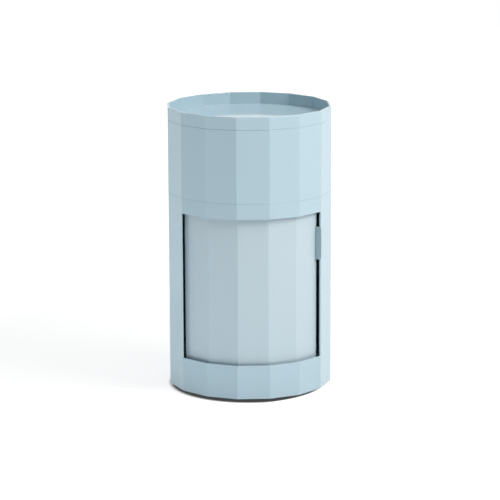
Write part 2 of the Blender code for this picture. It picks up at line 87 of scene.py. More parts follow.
def node(tree, kind, inputs=None, **settings):
    """Adds a shader node with its settings; an input is a value, or a socket to link from."""
    made = tree.nodes.new(kind)
    for key, value in settings.items():
        setattr(made, key, value)
    for key, value in (inputs or {}).items():
        if isinstance(value, bpy.types.NodeSocket):
            tree.links.new(value, made.inputs[key])
        else:
            made.inputs[key].default_value = value
    return made


def new_material(name):
    """A new material with its node tree, its shader and the place on the piece that patterns follow."""
    made = bpy.data.materials.new(name)
    made.use_nodes = True
    tree = made.node_tree
    place = node(tree, "ShaderNodeTexCoord").outputs["Object"]
    return made, tree, tree.nodes["Principled BSDF"], place


def powder_coat(name, colour, deep_colour):
    """Polyester powder baked on steel: an even film that mirrors at a low angle, with a faint orange peel.

    The film's thickness drifts a little over a hand's width, which shifts its depth of colour. The peel is
    drawn 3 mm wide, about twice its real size, so that it shows at all.
    """
    made, tree, shader, place = new_material(name)
    drift = node(tree, "ShaderNodeTexNoise", {"Vector": place, "Scale": 1 / COAT_DRIFT, "Detail": 2.0})
    peel = node(tree, "ShaderNodeTexNoise", {"Vector": place, "Scale": 1 / PEEL_WIDTH, "Detail": 1.0})
    film = node(
        tree,
        "ShaderNodeMix",
        {0: drift.outputs["Fac"], 6: linear(colour), 7: linear(deep_colour)},
        data_type="RGBA",
    )
    gloss = node(
        tree,
        "ShaderNodeMapRange",
        {"Value": drift.outputs["Fac"], "To Min": COAT_SMOOTH, "To Max": COAT_DULL},
    )
    relief = node(
        tree,
        "ShaderNodeBump",
        {"Height": peel.outputs["Fac"], "Strength": PEEL_STRENGTH, "Distance": PEEL_DEPTH},
    )
    tree.links.new(film.outputs[2], shader.inputs["Base Color"])
    tree.links.new(gloss.outputs["Result"], shader.inputs["Roughness"])
    tree.links.new(relief.outputs["Normal"], shader.inputs["Normal"])
    shader.inputs["IOR"].default_value = COAT_IOR
    return made


def bend(flat, height, radius, start, end):
    """Points round a fold about a centre, from one direction to another in degrees."""
    turns = [radians(start + (end - start) * k / BEND_STEPS) for k in range(BEND_STEPS + 1)]
    return [(flat + radius * cos(turn), height + radius * sin(turn)) for turn in turns]


def draw_out(bm, edges, step):
    """Draws edges out by a step into new faces; gives the new corners and the edges between them."""
    grown = bmesh.ops.extrude_edge_only(bm, edges=edges)["geom"]
    corners = [part for part in grown if isinstance(part, bmesh.types.BMVert)]
    ends = [
        part
        for part in grown
        if isinstance(part, bmesh.types.BMEdge) and part.verts[0] in corners and part.verts[1] in corners
    ]
    bmesh.ops.translate(bm, verts=corners, vec=step)
    return corners, ends


def faceted_sheet(levels, floor=False):
    """A sheet folded into sixteen sides through levels of (distance to a flat, height), floored or open."""
    bm = bmesh.new()
    flat, height = levels[0]
    bmesh.ops.create_circle(
        bm,
        cap_ends=True,
        segments=SIDES,
        radius=flat / cos(pi / SIDES),
        matrix=Matrix.Translation((0, 0, height)) @ Matrix.Rotation(pi / SIDES, 4, "Z"),
    )
    bmesh.ops.bevel(
        bm,
        geom=bm.verts[:],
        affect="VERTICES",
        offset=CORNER_REACH,
        segments=CORNER_STEPS,
        profile=0.5,
        material=-1,
    )
    base = bm.faces[:]
    rim = bm.edges[:]
    for (flat, low), (next_flat, high) in zip(levels, levels[1:]):
        corners, rim = draw_out(bm, rim, (0, 0, high - low))
        bmesh.ops.scale(bm, verts=corners, vec=(next_flat / flat, next_flat / flat, 1))
    if not floor:
        bmesh.ops.delete(bm, geom=base, context="FACES_ONLY")
        bmesh.ops.reverse_faces(bm, faces=bm.faces[:])
    return bm


def fit_piece(name, bm, material, slot, body, *nodes, sheet=None):
    """Makes a mesh a finished piece that rides on its body in place of its solids.

    A sheet gets its thickness, inwards, and loses the burr on its cut edges. Weighted normals keep wide faces
    flat to the eye beside narrow rounded edges.
    """
    mesh = bpy.data.meshes.new(name)
    bm.to_mesh(mesh)
    bm.free()
    mesh.shade_smooth()
    mesh.materials.append(material)
    made = bpy.data.objects.new(name, mesh)
    bpy.context.scene.collection.objects.link(made)
    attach(made, body)
    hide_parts(*nodes)
    if sheet:
        wall = made.modifiers.new("sheet", "SOLIDIFY")
        wall.thickness = sheet
        wall.offset = -1
        edge = made.modifiers.new("cut edge", "BEVEL")
        edge.width = CUT_EDGE
        edge.segments = CUT_EDGE_STEPS
        edge.limit_method = "ANGLE"
        edge.angle_limit = CUT_EDGE_ANGLE
    made.modifiers.new("even shading", "WEIGHTED_NORMAL")


body_coat = powder_coat("light_blue_powder_coat", BODY_BLUE, BODY_BLUE_DEEP)
shell_low, shell_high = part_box("lower_shell")
base_low, base_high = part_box("base_plate")
body_flat = shell_high.y
sill = base_high.z + SILL_LIP
seam = shell_high.z + SEAM_RISE
lintel = sill + OPENING_HEIGHT
half_opening = OPENING_SIDES * pi / SIDES
window_half = half_opening - SHEET / (body_flat / cos(pi / SIDES))

bm = faceted_sheet(
    [(body_flat - HEM, shell_low.z)]
    + bend(body_flat - HEM_BEND, shell_low.z + HEM_BEND, HEM_BEND, -90, 0)
    + [(body_flat, sill), (body_flat, lintel)]
    + bend(body_flat - JOINT_BEND, seam - JOINT_BEND, JOINT_BEND, 0, 90)
    + [(body_flat - JOINT_FLANGE, seam)]
)


def door_band(faces):
    """The front faces between sill and lintel, each with its angle from the middle of the door."""
    for face in faces:
        middle = face.calc_center_median()
        if sill < middle.z < lintel and middle.y < 0:
            yield face, atan2(middle.x, -middle.y)


for side in (-1, 1):
    jamb_angle = FRONT + side * window_half
    faces = [face for face, angle in door_band(bm.faces) if angle * side > pi / SIDES]
    edges = {edge for face in faces for edge in face.edges}
    corners = {corner for face in faces for corner in face.verts}
    bmesh.ops.bisect_plane(
        bm,
        geom=[*faces, *edges, *corners],
        dist=MERGE,
        plane_co=(0, 0, 0),
        plane_no=(-sin(jamb_angle), cos(jamb_angle), 0),
    )
opening = [face for face, angle in door_band(bm.faces) if abs(angle) < window_half]
bmesh.ops.delete(bm, geom=opening, context="FACES")
jamb_angle = FRONT + window_half
jamb_fold = [
    edge
    for edge in bm.edges
    if edge.is_boundary
    and edge.verts[0].co.x > 0
    and abs(edge.verts[0].co.z - edge.verts[1].co.z) > OPENING_HEIGHT / 2
]
draw_out(bm, jamb_fold, (-JAMB_RETURN * cos(jamb_angle), -JAMB_RETURN * sin(jamb_angle), 0))
bmesh.ops.bevel(
    bm,
    geom=jamb_fold,
    affect="EDGES",
    offset=JAMB_BEND,
    segments=CORNER_STEPS,
    profile=0.5,
    material=-1,
)
fit_piece("shell_sheet", bm, body_coat, "blue_powder_coat", "cabinet", "lower_shell", sheet=SHEET)


# Base plate and cleats: a flat 1.5 mm plate that floors the compartment and carries the castors. Four angle
# cleats of 2 mm plated strip, bent once and spot welded inside the plinth, hold it up.
CLEATS = 4
CLEAT_SHEET = 0.002
CLEAT_BEND = 0.0028
CLEAT_BEND_STEPS = 5
CLEAT_CORNER = 0.003
CLEAT_CORNER_STEPS = 4
ZINC_BRIGHT = "c9cdd0"
ZINC_DULL = "b4b8b8"
ZINC_CLOUD = 0.012
ZINC_GRAIN = 0.0008
ZINC_GRAIN_DEPTH = 0.00001


def plated_steel(name, bright, dull):
    """Steel with electroplated zinc: a cool grey metal, satin, with cloudy patches left by the bath."""
    made, tree, shader, place = new_material(name)
    cloud = node(tree, "ShaderNodeTexNoise", {"Vector": place, "Scale": 1 / ZINC_CLOUD, "Detail": 4.0})
    grain = node(tree, "ShaderNodeTexNoise", {"Vector": place, "Scale": 1 / ZINC_GRAIN, "Detail": 2.0})
    plating = node(
        tree,
        "ShaderNodeMix",
        {0: cloud.outputs["Fac"], 6: linear(bright), 7: linear(dull)},
        data_type="RGBA",
    )
    satin = node(
        tree,
        "ShaderNodeMapRange",
        {"Value": cloud.outputs["Fac"], "From Min": 0.3, "From Max": 0.7, "To Min": 0.26, "To Max": 0.42},
    )
    relief = node(
        tree,
        "ShaderNodeBump",
        {"Height": grain.outputs["Fac"], "Strength": 0.3, "Distance": ZINC_GRAIN_DEPTH},
    )
    tree.links.new(plating.outputs[2], shader.inputs["Base Color"])
    tree.links.new(satin.outputs["Result"], shader.inputs["Roughness"])
    tree.links.new(relief.outputs["Normal"], shader.inputs["Normal"])
    shader.inputs["Metallic"].default_value = 1.0
    return made


zinc = plated_steel("zinc_plated_steel", ZINC_BRIGHT, ZINC_DULL)
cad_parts["base_plate"].material_slots[0].material = body_coat

low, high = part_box("base_bracket_1")
for number in range(1, CLEATS + 1):
    bm = bmesh.new()
    path = [(low.x, high.z), (high.x, high.z), (high.x, low.z)]
    chain = [bm.verts.new((x, low.y, z)) for x, z in path]
    strip = [bm.edges.new(pair) for pair in zip(chain, chain[1:])]
    draw_out(bm, strip, (0, high.y - low.y, 0))
    bmesh.ops.recalc_face_normals(bm, faces=bm.faces)
    if max(bm.faces, key=lambda face: face.calc_center_median().z).normal.z < 0:
        bmesh.ops.reverse_faces(bm, faces=bm.faces[:])
    free_corners = [corner for corner in bm.verts if len(corner.link_edges) == 2]
    bmesh.ops.bevel(
        bm,
        geom=free_corners,
        affect="VERTICES",
        offset=CLEAT_CORNER,
        segments=CLEAT_CORNER_STEPS,
        profile=0.5,
        material=-1,
    )
    fold = [edge for edge in bm.edges if len(edge.link_faces) == 2]
    bmesh.ops.bevel(
        bm,
        geom=fold,
        affect="EDGES",
        offset=CLEAT_BEND,
        segments=CLEAT_BEND_STEPS,
        profile=0.5,
        material=-1,
    )
    bmesh.ops.rotate(bm, verts=bm.verts, matrix=Matrix.Rotation(2 * pi / CLEATS * (number - 1), 3, "Z"))
    fit_piece(
        f"cleat_{number}",
        bm,
        zinc,
        "zinc_plated_steel",
        "cabinet",
        f"base_bracket_{number}",
        sheet=CLEAT_SHEET,
    )


# Castor stems and nuts: a plated steel stem with its pressed bearing cup, bolted through the base plate. The
# fork swivels between the cup and the riveted head of the kingpin below it.
CASTORS = range(1, 5)
STEM_RADIUS = 0.005
SEAT_RADIUS = 0.012
SEAT_HEIGHT = 0.005
CUP_RADIUS = 0.009
CUP_GROOVE = 0.0008
KINGPIN_RADIUS = 0.004
KINGPIN_HEAD_RADIUS = 0.007
KINGPIN_HEAD = 0.002
SEAT_GAP = 0.0003
STEEL_EDGE = 0.0004
STEM_NUT_FLATS = 0.016
HEXAGON_ROUND = 0.55
NUT_CHAMFER = 0.045
TURN_STEPS = 48
SHARP = radians(30)


def soften(bm, width, steps=2):
    """Rounds the sharp edges of a closed piece."""
    sharp = [edge for edge in bm.edges if edge.is_manifold and edge.calc_face_angle() > SHARP]
    bmesh.ops.bevel(
        bm,
        geom=sharp,
        affect="EDGES",
        offset=width,
        segments=steps,
        profile=0.5,
        clamp_overlap=True,
        material=-1,
    )


def turned(section, steps=TURN_STEPS):
    """A piece turned about Z from a section of (radius, height) points."""
    bm = bmesh.new()
    chain = [bm.verts.new((radius, 0, height)) for radius, height in section]
    outline = [bm.edges.new(pair) for pair in zip(chain, chain[1:])]
    bmesh.ops.spin(
        bm,
        geom=chain + outline,
        cent=(0, 0, 0),
        axis=(0, 0, 1),
        angle=2 * pi,
        steps=steps,
        use_merge=True,
    )
    bmesh.ops.remove_doubles(bm, verts=bm.verts, dist=MERGE)
    bmesh.ops.recalc_face_normals(bm, faces=bm.faces)
    return bm


def press_to_hexagon(corners, flats):
    """Moves the corners of a round to the six flats of a hexagon."""
    for corner in corners:
        angle = (atan2(corner.co.y, corner.co.x) + pi / 6) % (pi / 3) - pi / 6
        share = flats / 2 / cos(angle) / corner.co.xy.length
        corner.co.x *= share
        corner.co.y *= share


def hexagon_nut(flats, bore, low, high):
    """A nut turned with chamfered faces, its widest part then pushed out to six flats."""
    chamfer = flats * NUT_CHAMFER
    widest = flats * HEXAGON_ROUND
    bm = turned(
        [
            (bore, low),
            (flats / 2, low),
            (widest, low + chamfer),
            (widest, high - chamfer),
            (flats / 2, high),
            (bore, high),
            (bore, low),
        ]
    )
    press_to_hexagon([corner for corner in bm.verts if corner.co.xy.length > widest - MERGE], flats)
    bmesh.ops.recalc_face_normals(bm, faces=bm.faces)
    return bm


castor_places = []
for number in CASTORS:
    low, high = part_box(f"castor_stem_{number}")
    castor_places.append(Vector(((low.x + high.x) / 2, (low.y + high.y) / 2, 0)))
stem_low, stem_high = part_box("castor_stem_1")
fork_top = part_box("castor_fork_1")[1].z
cup_low = fork_top + SEAT_GAP
seat_top = base_low.z - SEAT_GAP
seat_low = seat_top - SEAT_HEIGHT
groove = (cup_low + seat_low) / 2
for number, place in zip(CASTORS, castor_places):
    bm = turned(
        [
            (0, stem_high.z),
            (STEM_RADIUS, stem_high.z),
            (STEM_RADIUS, seat_top),
            (SEAT_RADIUS, seat_top),
            (SEAT_RADIUS, seat_low),
            (CUP_RADIUS, seat_low),
            (CUP_RADIUS, groove + CUP_GROOVE),
            (CUP_RADIUS - CUP_GROOVE, groove),
            (CUP_RADIUS, groove - CUP_GROOVE),
            (CUP_RADIUS, cup_low),
            (KINGPIN_RADIUS, cup_low),
            (KINGPIN_RADIUS, stem_low.z + KINGPIN_HEAD),
            (KINGPIN_HEAD_RADIUS, stem_low.z + KINGPIN_HEAD),
            (KINGPIN_HEAD_RADIUS, stem_low.z + KINGPIN_HEAD / 2),
            (KINGPIN_HEAD_RADIUS / 2, stem_low.z),
            (0, stem_low.z),
        ]
    )
    soften(bm, STEEL_EDGE)
    bmesh.ops.translate(bm, verts=bm.verts, vec=place)
    fit_piece(
        f"castor_post_{number}", bm, zinc, "zinc_plated_steel", "cabinet", f"castor_stem_{number}"
    )
    low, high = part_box(f"castor_nut_{number}")
    bm = hexagon_nut(STEM_NUT_FLATS, STEM_RADIUS + SEAT_GAP, low.z, high.z)
    bmesh.ops.translate(bm, verts=bm.verts, vec=place)
    fit_piece(
        f"castor_hexagon_{number}", bm, zinc, "zinc_plated_steel", "cabinet", f"castor_nut_{number}"
    )


# Castor forks and axles: each fork is 2.5 mm plated strip pressed into an upturned U with rounded ends, and
# its axle is a rivet with domed heads. Both swivel about the stem.
FORK_SHEET = 0.0025
FORK_OUTER = 0.0153
FORK_NOSE = 0.014
FORK_HEEL = 0.020
FORK_CROWN = 0.003
FORK_EYE = 0.009
FORK_EYE_ROUND = FORK_EYE * 0.97
FORK_EYE_STEPS = 8
FORK_BEND = 0.0032
FORK_BEND_STEPS = 5
CASTOR_TRAIL = 0.024
AXLE_RADIUS = 0.004
AXLE_HEAD_RADIUS = 0.0065
AXLE_HEAD_FLAT = AXLE_HEAD_RADIUS * 0.55
AXLE_HEAD = 0.002
AXLE_HEAD_RIM = AXLE_HEAD / 3
axle_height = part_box("wheel_tyre_1")[1].z / 2
axle_end = FORK_OUTER + SEAT_GAP
ALONG_X = Matrix.Rotation(pi / 2, 4, "Y")


def castor_frame(number):
    """From a castor's own frame, wheel trailing along +Y, to its place under the base."""
    turn = Matrix.Rotation(pi / 4 + pi / 2 * (number - 1), 4, "Z")
    return Matrix.Translation(castor_places[number - 1]) @ turn


def wheel_frame(number):
    """From a wheel's own frame, turned about Z, to its place in the fork."""
    return castor_frame(number) @ Matrix.Translation((0, CASTOR_TRAIL, axle_height)) @ ALONG_X


for number in CASTORS:
    bm = bmesh.new()
    bmesh.ops.create_grid(bm, x_segments=1, y_segments=1, size=0.5)
    bmesh.ops.scale(bm, verts=bm.verts, vec=(2 * FORK_OUTER, FORK_NOSE + FORK_HEEL, 1))
    bmesh.ops.translate(bm, verts=bm.verts, vec=(0, (FORK_HEEL - FORK_NOSE) / 2, fork_top))
    shoulders = [edge for edge in bm.edges if abs(edge.verts[0].co.x - edge.verts[1].co.x) < MERGE]
    cheek = shoulders
    for drop in (FORK_CROWN, fork_top - FORK_CROWN - axle_height + FORK_EYE):
        corners, cheek = draw_out(bm, cheek, (0, 0, -drop))
    for corner in corners:
        corner.co.y = CASTOR_TRAIL + (FORK_EYE if corner.co.y > 0 else -FORK_EYE)
    bmesh.ops.bevel(
        bm,
        geom=corners,
        affect="VERTICES",
        offset=FORK_EYE_ROUND,
        segments=FORK_EYE_STEPS,
        profile=0.5,
        material=-1,
    )
    bmesh.ops.bevel(
        bm,
        geom=shoulders,
        affect="EDGES",
        offset=FORK_BEND,
        segments=FORK_BEND_STEPS,
        profile=0.5,
        material=-1,
    )
    bmesh.ops.transform(bm, verts=bm.verts, matrix=castor_frame(number))
    fit_piece(
        f"castor_yoke_{number}",
        bm,
        zinc,
        "zinc_plated_steel",
        f"castor_{number}",
        f"castor_fork_{number}",
        sheet=FORK_SHEET,
    )
    bm = turned(
        [
            (0, axle_end + AXLE_HEAD),
            (AXLE_HEAD_FLAT, axle_end + AXLE_HEAD),
            (AXLE_HEAD_RADIUS, axle_end + AXLE_HEAD_RIM),
            (AXLE_HEAD_RADIUS, axle_end),
            (AXLE_RADIUS, axle_end),
            (AXLE_RADIUS, -axle_end),
            (AXLE_HEAD_RADIUS, -axle_end),
            (AXLE_HEAD_RADIUS, -axle_end - AXLE_HEAD_RIM),
            (AXLE_HEAD_FLAT, -axle_end - AXLE_HEAD),
            (0, -axle_end - AXLE_HEAD),
        ]
    )
    soften(bm, STEEL_EDGE)
    bmesh.ops.transform(bm, verts=bm.verts, matrix=wheel_frame(number))
    fit_piece(
        f"castor_rivet_{number}",
        bm,
        zinc,
        "zinc_plated_steel",
        f"castor_{number}",
        f"castor_axle_{number}",
    )


# Wheel hubs: dark grey polypropylene, moulded with a bored boss, a thin dished web and eight ribs a side.
# Each runs on its axle between the fork's cheeks.
HUB_WIDTH = 0.022
HUB_DISH = 0.003
HUB_BOSS = 0.008
HUB_WEB = 0.007
HUB_RIM = 0.0025
HUB_RIBS = 8
HUB_RIB_HEIGHT = 0.0055
HUB_EDGE = 0.0003
FACING = 0.9
TYRE_THICKNESS = 0.0075
RUN_CLEARANCE = 0.0003
PLASTIC_GREY = "3d4043"
PLASTIC_GREY_WORN = "46494c"
MOULDED_FLOW = 0.015
MOULDED_IOR = 1.49


def moulded(name, colour, second_colour, roughness, grain_size, depth):
    """A moulded plastic or rubber: matt, with the fine even grain that a spark-eroded mould leaves."""
    made, tree, shader, place = new_material(name)
    flow = node(tree, "ShaderNodeTexNoise", {"Vector": place, "Scale": 1 / MOULDED_FLOW, "Detail": 3.0})
    grain = node(tree, "ShaderNodeTexNoise", {"Vector": place, "Scale": 1 / grain_size, "Detail": 2.0})
    tint = node(
        tree,
        "ShaderNodeMix",
        {0: flow.outputs["Fac"], 6: linear(colour), 7: linear(second_colour)},
        data_type="RGBA",
    )
    relief = node(
        tree, "ShaderNodeBump", {"Height": grain.outputs["Fac"], "Strength": 0.4, "Distance": depth}
    )
    tree.links.new(tint.outputs[2], shader.inputs["Base Color"])
    tree.links.new(relief.outputs["Normal"], shader.inputs["Normal"])
    shader.inputs["Roughness"].default_value = roughness
    shader.inputs["IOR"].default_value = MOULDED_IOR
    return made


hub_plastic = moulded(
    "moulded_polypropylene",
    PLASTIC_GREY,
    PLASTIC_GREY_WORN,
    roughness=0.5,
    grain_size=0.0006,
    depth=0.00002,
)
hub_outer = axle_height - TYRE_THICKNESS - RUN_CLEARANCE
hub_inner = hub_outer - HUB_RIM
hub_bore = AXLE_RADIUS + RUN_CLEARANCE
boss_half, web_half, rim_half = HUB_WIDTH / 2, HUB_WEB / 2, HUB_WIDTH / 2 - HUB_DISH
for number in CASTORS:
    bm = turned(
        [
            (hub_bore, boss_half),
            (HUB_BOSS, boss_half),
            (HUB_BOSS, web_half),
            (hub_inner, web_half),
            (hub_inner, rim_half),
            (hub_outer, rim_half),
            (hub_outer, -rim_half),
            (hub_inner, -rim_half),
            (hub_inner, -web_half),
            (HUB_BOSS, -web_half),
            (HUB_BOSS, -boss_half),
            (hub_bore, -boss_half),
            (hub_bore, boss_half),
        ]
    )
    for side in (-1, 1):
        ribs = []
        for face in bm.faces:
            middle = face.calc_center_median()
            sector = int((atan2(middle.y, middle.x) % (2 * pi)) / (2 * pi) * TURN_STEPS)
            on_web = HUB_BOSS < hypot(middle.x, middle.y) < hub_inner
            if on_web and face.normal.z * side > FACING and sector % (TURN_STEPS // HUB_RIBS) == 0:
                ribs.append(face)
        grown = bmesh.ops.extrude_face_region(bm, geom=ribs)["geom"]
        bmesh.ops.translate(
            bm,
            verts=[part for part in grown if isinstance(part, bmesh.types.BMVert)],
            vec=(0, 0, side * (HUB_RIB_HEIGHT - web_half)),
        )
        bmesh.ops.delete(bm, geom=[face for face in ribs if face.is_valid], context="FACES")
    soften(bm, HUB_EDGE)
    bmesh.ops.transform(bm, verts=bm.verts, matrix=wheel_frame(number))
    fit_piece(
        f"hub_{number}",
        bm,
        hub_plastic,
        "dark_grey_polypropylene",
        f"wheel_{number}",
        f"wheel_hub_{number}",
    )


# Tyres: soft black rubber moulded round the hub, with a slightly crowned tread and rounded shoulders. Each
# turns with its hub and stands on the floor.
TYRE_WIDTH = 0.020
TYRE_SHOULDER = 0.0025
TYRE_CROWN = 0.0003
TYRE_EDGE = 0.0008
TYRE_STEPS = 96
SOFT_STEPS = 3
RUBBER_BLACK = "1f1f20"
RUBBER_GREY = "282828"
rubber = moulded(
    "moulded_rubber", RUBBER_BLACK, RUBBER_GREY, roughness=0.72, grain_size=0.0007, depth=0.00003
)
tyre_bore = axle_height - TYRE_THICKNESS
tyre_half = TYRE_WIDTH / 2
for number in CASTORS:
    bm = turned(
        [
            (tyre_bore, tyre_half),
            (axle_height - TYRE_SHOULDER, tyre_half),
            (axle_height - TYRE_CROWN, tyre_half - TYRE_SHOULDER),
            (axle_height, 0),
            (axle_height - TYRE_CROWN, TYRE_SHOULDER - tyre_half),
            (axle_height - TYRE_SHOULDER, -tyre_half),
            (tyre_bore, -tyre_half),
            (tyre_bore, tyre_half),
        ],
        TYRE_STEPS,
    )
    soften(bm, TYRE_EDGE, SOFT_STEPS)
    bmesh.ops.transform(bm, verts=bm.verts, matrix=wheel_frame(number))
    fit_piece(f"tyre_{number}", bm, rubber, "black_rubber", f"wheel_{number}", f"wheel_tyre_{number}")


# Door tracks: two hoops of 2 mm plated strip on edge, one welded to the base plate and one under the deck.
# Their free edges are rounded for the glides.
HOOP_EDGE = 0.0005
HOOP_STEPS = 128
for name, node_name in (("lower_hoop", "bottom_track"), ("upper_hoop", "top_track")):
    low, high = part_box(node_name)
    reaches = [corner.co.xy.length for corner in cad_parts[node_name].data.vertices]
    outer, inner = max(reaches), min(reaches)
    bm = turned(
        [(outer, high.z), (outer, low.z), (inner, low.z), (inner, high.z), (outer, high.z)], HOOP_STEPS
    )
    soften(bm, HOOP_EDGE, SOFT_STEPS)
    fit_piece(name, bm, zinc, "zinc_plated_steel", "cabinet", node_name)


# Door stops: two black rubber buffers glued to the base plate, one at each end of the door's travel. Each
# is moulded with rounded edges and a shallow hollow on top.
STOP_DEPTH = 0.010
STOP_THICKNESS = 0.008
STOP_HEIGHT = 0.014
STOP_EDGE = 0.0012
STOP_LIP = 0.002
STOP_HOLLOW = 0.0007
STOP_OFFSET = 0.0045
for name, node_name, away in (
    ("closed_buffer", "door_stop_closed", 1),
    ("open_buffer", "door_stop_open", -1),
):
    low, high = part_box(node_name)
    middle = (low + high) / 2
    turn = atan2(middle.y, middle.x) - away * atan2(STOP_OFFSET, middle.xy.length)
    bm = bmesh.new()
    bmesh.ops.create_cube(bm, size=1)
    bmesh.ops.scale(bm, verts=bm.verts, vec=(STOP_DEPTH, STOP_THICKNESS, STOP_HEIGHT))
    top = max(bm.faces, key=lambda face: face.calc_center_median().z)
    bmesh.ops.inset_region(bm, faces=[top], thickness=STOP_LIP)
    bmesh.ops.translate(bm, verts=top.verts, vec=(0, 0, -STOP_HOLLOW))
    soften(bm, STOP_EDGE, SOFT_STEPS)
    bmesh.ops.rotate(bm, verts=bm.verts, matrix=Matrix.Rotation(turn, 3, "Z"))
    bmesh.ops.translate(bm, verts=bm.verts, vec=middle)
    fit_piece(name, bm, rubber, "black_rubber", "cabinet", node_name)


# Upper ring: the bin wall above the seam, a second folded sheet of sixteen sides in the same blue coat. It is
# flanged inwards top and bottom; the lower flange is bolted to the shell and the upper one carries the tray.
RING_FLANGE = 0.010
ring_low, ring_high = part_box("upper_ring")
bm = faceted_sheet(
    [(body_flat - JOINT_FLANGE, ring_low.z)]
    + bend(body_flat - JOINT_BEND, ring_low.z + JOINT_BEND, JOINT_BEND, -90, 0)
    + bend(body_flat - JOINT_BEND, ring_high.z - JOINT_BEND, JOINT_BEND, 0, 90)
    + [(body_flat - RING_FLANGE, ring_high.z)]
)
fit_piece("ring_sheet", bm, body_coat, "blue_powder_coat", "cabinet", "upper_ring", sheet=SHEET)


# Deck plate and its screws: a flat coated plate on the ring's lower flange, with four plated button-head
# screws through deck, ring and shell. Each has a hexagon socket, and a nut under the shell's flange.
SCREWS = 4
SCREW_RADIUS = 0.0025
SCREW_EDGE = 0.00015
SCREW_HEAD_RADIUS = 0.00475
SCREW_HEAD = 0.0028
SCREW_HEAD_CURVE = ((0.6, 0.92), (0.85, 0.65), (1.0, 0.25), (1.0, 0.0))
SOCKET_FLATS = 0.003
SOCKET_DEPTH = 0.0016
SCREW_NUT_FLATS = 0.008
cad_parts["deck_plate"].material_slots[0].material = body_coat
socket = SOCKET_FLATS * HEXAGON_ROUND
for number in range(1, SCREWS + 1):
    low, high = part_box(f"deck_screw_{number}")
    place = Vector(((low.x + high.x) / 2, (low.y + high.y) / 2, 0))
    seat = high.z - SCREW_HEAD
    bm = turned(
        [(0, high.z - SOCKET_DEPTH), (socket, high.z - SOCKET_DEPTH), (socket, high.z)]
        + [(SCREW_HEAD_RADIUS * out, seat + SCREW_HEAD * up) for out, up in SCREW_HEAD_CURVE]
        + [(SCREW_RADIUS, seat), (SCREW_RADIUS, low.z), (0, low.z)]
    )
    press_to_hexagon(
        [corner for corner in bm.verts if abs(corner.co.xy.length - socket) < MERGE], SOCKET_FLATS
    )
    soften(bm, SCREW_EDGE)
    bmesh.ops.translate(bm, verts=bm.verts, vec=place)
    fit_piece(
        f"button_screw_{number}", bm, zinc, "zinc_plated_steel", "cabinet", f"deck_screw_{number}"
    )
    low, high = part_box(f"deck_nut_{number}")
    bm = hexagon_nut(SCREW_NUT_FLATS, SCREW_RADIUS + RUN_CLEARANCE, low.z, high.z)
    bmesh.ops.translate(bm, verts=bm.verts, vec=place)
    fit_piece(f"deck_hexagon_{number}", bm, zinc, "zinc_plated_steel", "cabinet", f"deck_nut_{number}")


# Door panel: five sides of 1.2 mm sheet standing back inside the opening, with both upright edges folded in;
# its left side runs on behind the jamb. It is coated from a paler batch and turns about the cabinet's axis.
DOOR_RETURN = 0.009
DOOR_OVERLAP = 0.0045
DOOR_EDGE_BEND = 0.0013
DOOR_BLUE = "bacdd7"
DOOR_BLUE_DEEP = "b8ccd6"
door_coat = powder_coat("pale_blue_powder_coat", DOOR_BLUE, DOOR_BLUE_DEEP)
door_low, door_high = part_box("door_panel")
door_flat = -door_low.y
door_corner = door_flat / cos(pi / SIDES)
left_side = door_flat * tan(pi / SIDES) + DOOR_OVERLAP
left_corner = hypot(door_flat, left_side)
left_turn = FRONT - half_opening + pi / SIDES - atan2(left_side, door_flat)
bends = [FRONT - half_opening + 2 * pi / SIDES * k for k in range(1, OPENING_SIDES + 1)]
path = [(left_corner - DOOR_RETURN, left_turn), (left_corner, left_turn)]
path += [(door_corner, turn) for turn in bends]
path += [(door_corner - DOOR_RETURN, bends[-1])]
bm = bmesh.new()
chain = [bm.verts.new((reach * cos(turn), reach * sin(turn), door_low.z)) for reach, turn in path]
panel = [bm.edges.new(pair) for pair in zip(chain, chain[1:])]
draw_out(bm, panel, (0, 0, door_high.z - door_low.z))
bmesh.ops.recalc_face_normals(bm, faces=bm.faces)
if min(bm.faces, key=lambda face: face.calc_center_median().y).normal.y > 0:
    bmesh.ops.reverse_faces(bm, faces=bm.faces[:])
folds = [edge for edge in bm.edges if len(edge.link_faces) == 2]
edge_folds = [edge for edge in folds if edge.calc_face_angle() > 2 * SHARP]
side_folds = [edge for edge in folds if edge not in edge_folds]
for group, reach in ((edge_folds, DOOR_EDGE_BEND), (side_folds, CORNER_REACH)):
    bmesh.ops.bevel(
        bm, geom=group, affect="EDGES", offset=reach, segments=CORNER_STEPS, profile=0.5, material=-1
    )
fit_piece("door_sheet", bm, door_coat, "door_powder_coat", "door", "door_panel", sheet=SHEET)


# Pull tab: a 2 mm steel blade welded edge-on beside the door's right edge, its two free corners rounded. It
# reaches out past the jamb for the fingers. Its coat is painted darker than the door's, as painted shade.
TAB_THICKNESS = 0.002
TAB_CORNER = 0.005
TAB_CORNER_STEPS = 8
TAB_EDGE = 0.0006
TAB_INSET = 0.0032
# Painted shade: the tab's blue is set darker than the door's to stand in for the shade on its side face.
TAB_SHADED_BLUE = "9fb8c0"
TAB_SHADED_BLUE_DEEP = "9db7bf"
tab_shaded_coat = powder_coat("painted_shade_blue_powder_coat", TAB_SHADED_BLUE, TAB_SHADED_BLUE_DEEP)
tab_low, tab_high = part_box("pull_tab")
tab_angle = FRONT + half_opening - TAB_INSET / door_corner
tab_reaches = [
    corner.co.x * cos(tab_angle) + corner.co.y * sin(tab_angle)
    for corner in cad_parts["pull_tab"].data.vertices
]
tab_root, tab_tip = min(tab_reaches), max(tab_reaches)
bm = bmesh.new()
bmesh.ops.create_grid(bm, x_segments=1, y_segments=1, size=0.5)
bmesh.ops.scale(bm, verts=bm.verts, vec=(tab_tip - tab_root, tab_high.z - tab_low.z, 1))
outer_corners = [corner for corner in bm.verts if corner.co.x > 0]
bmesh.ops.bevel(
    bm,
    geom=outer_corners,
    affect="VERTICES",
    offset=TAB_CORNER,
    segments=TAB_CORNER_STEPS,
    profile=0.5,
    material=-1,
)
grown = bmesh.ops.extrude_face_region(bm, geom=bm.faces[:])["geom"]
